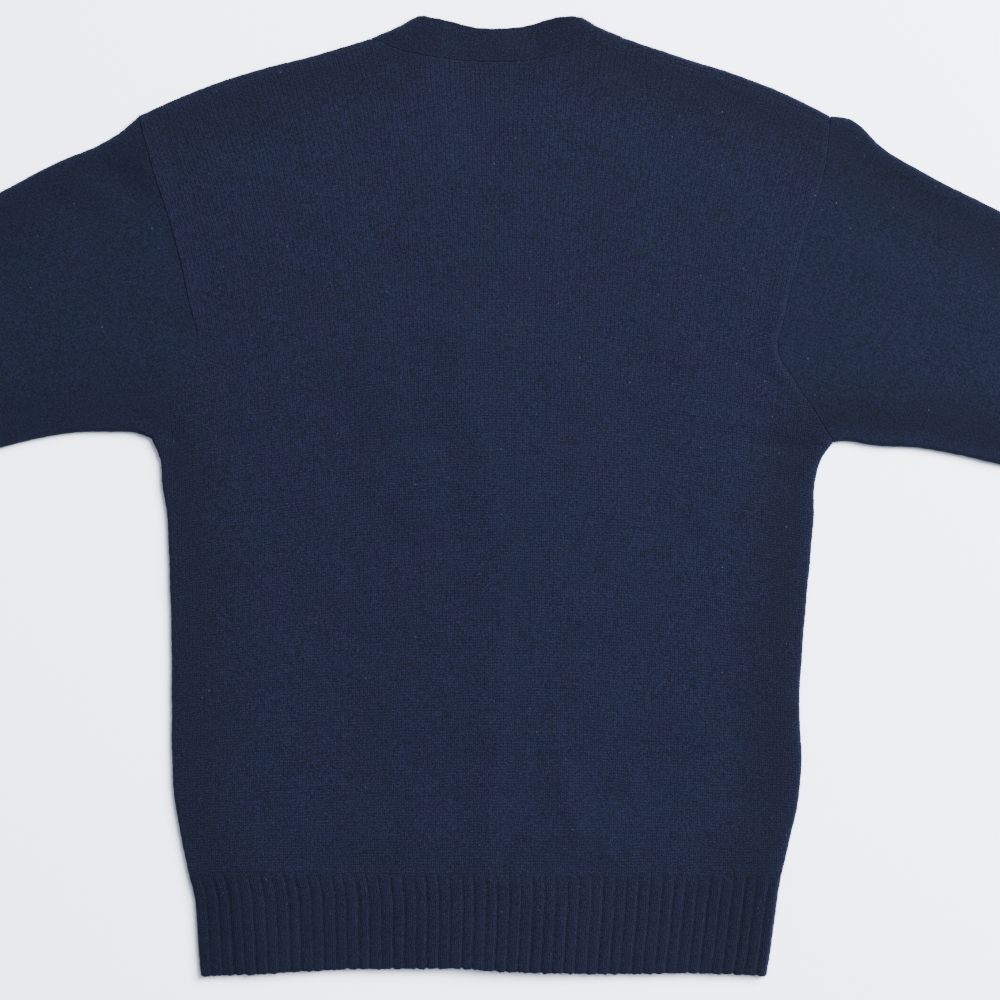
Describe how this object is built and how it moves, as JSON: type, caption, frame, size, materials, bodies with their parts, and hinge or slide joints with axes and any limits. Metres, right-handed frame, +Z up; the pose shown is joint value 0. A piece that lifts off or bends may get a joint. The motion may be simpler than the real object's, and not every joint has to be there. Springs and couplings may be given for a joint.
{
  "type": "cardigan laid face down",
  "caption": "Dropped-shoulder V-neck knitted cardigan with ribbed hem and cuffs, buttoned and laid flat on its front with the sleeves spread.",
  "frame": {"origin": "on the surface the garment lies on, under the middle of its outline", "axes": "+X to the wearer's right across the back, +Y from the hem to the neck, +Z up out of the surface"},
  "size_m": [1.5563, 0.7109, 0.0128],
  "materials": {
    "wool": "soft brushed stockinette and rib, matt",
    "button": "satin horn-like polyester"
  },
  "bodies": {
    "root": {"back": "wool", "back_hem": "wool", "neck_band": "wool", "left_front": "wool", "left_front_hem": "wool", "left_front_band": "wool", "left_sleeve": "wool", "left_cuff": "wool", "right_front": "wool", "right_front_hem": "wool", "right_front_band": "wool", "right_sleeve": "wool", "right_cuff": "wool", "button_1": "button", "button_2": "button", "button_3": "button", "button_4": "button", "button_5": "button", "button_6": "button"}
  },
  "joints": []
}
